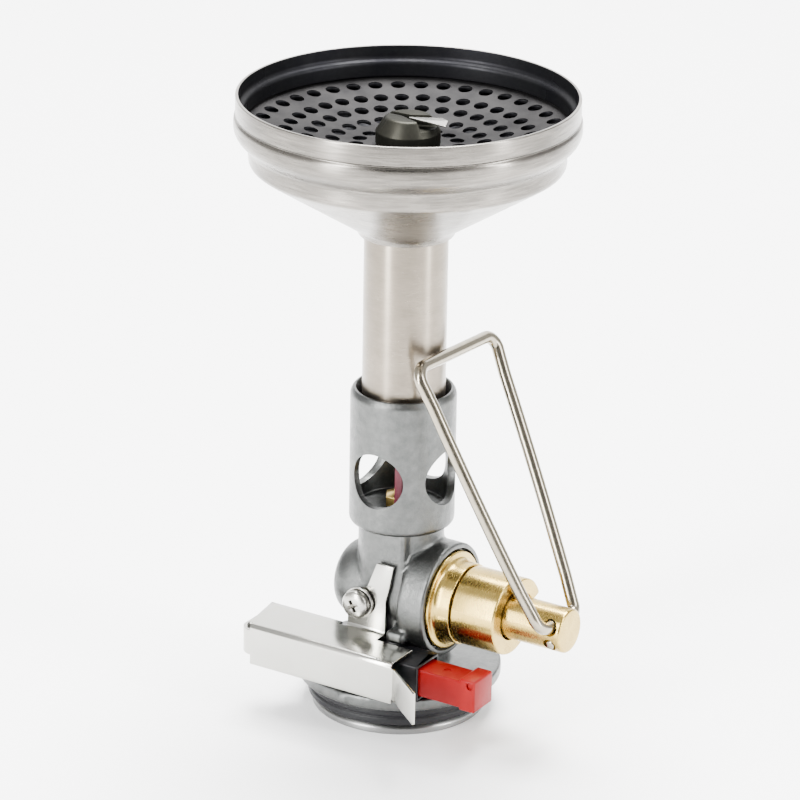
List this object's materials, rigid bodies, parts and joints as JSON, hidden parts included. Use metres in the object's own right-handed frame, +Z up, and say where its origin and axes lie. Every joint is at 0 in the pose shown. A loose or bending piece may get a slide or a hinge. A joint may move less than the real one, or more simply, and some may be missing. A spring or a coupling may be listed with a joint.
{
  "type": "canister stove",
  "caption": "Compact screw-on gas burner with a dished port plate, cast valve body, brass regulator with a folding wire handle, and a push-button piezo igniter.",
  "frame": {"origin": "on the burner's axis, level with the underside of the ring that screws on the canister", "axes": "+Z up along the burner's axis, +X along the regulator valve towards the wire handle, -Y the side of the igniter and heat shield"},
  "size_m": [0.051, 0.047, 0.0893],
  "materials": {
    "stainless": "satin, brushed round the axis",
    "dark_steel": "heat-darkened matte steel",
    "cast_metal": "matte die-cast",
    "brass": "satin turned",
    "rubber": "matte",
    "black_plastic": "moulded",
    "red_plastic": "moulded satin",
    "ceramic": null,
    "sleeving": "silicone sleeve on the ignition lead",
    "wire": "polished stainless wire"
  },
  "bodies": {
    "stove": {"valve_body": "cast_metal", "canister_connector": "cast_metal", "rubber_ring": "rubber", "canister_seal": "rubber", "canister_pin": "brass", "inlet_filter": "brass", "jet_nozzle": "brass", "valve_seat": "rubber", "poppet": "brass", "diaphragm": "rubber", "diaphragm_plate": "brass", "bonnet_ring": "brass", "spring_housing": "brass", "regulator_spring": "wire", "spring_seat": "brass", "mixing_tube": "stainless", "burner_bowl": "stainless", "rim_ring": "stainless", "burner_plate": "dark_steel", "centre_cap": "dark_steel", "spark_tab": "wire", "electrode_ceramic": "ceramic", "electrode": "wire", "igniter_case": "black_plastic", "return_spring": "wire", "piezo_hammer": "wire", "piezo_crystal": "ceramic", "piezo_contact": "brass", "ignition_lead": "sleeving", "heat_shield": "stainless", "screw_washer": "dark_steel", "bracket_screw": "stainless"},
    "spindle": {"spindle": "brass", "spindle_pin": "wire"},
    "handle": {"wire_handle": "wire"},
    "button": {"igniter_button": "red_plastic"}
  },
  "joints": [
    {"name": "spindle_turn", "type": "hinge", "parent": "stove", "child": "spindle", "pos_m": [0.02, 0, 0.0173], "axis": [1, 0, 0], "range_deg": [-180, 0]},
    {"name": "handle_fold", "type": "hinge", "parent": "spindle", "child": "handle", "pos_m": [0.0258, 0, 0.0184], "axis": [0, 0.9986, -0.0523], "range_deg": [0, 120]},
    {"name": "button_press", "type": "slide", "parent": "stove", "child": "button", "axis": [-1, 0, 0], "range_m": [0, 0.004], "stiffness_N_per_m": 600, "springref_m": -0.002, "deforming": ["return_spring"]}
  ]
}
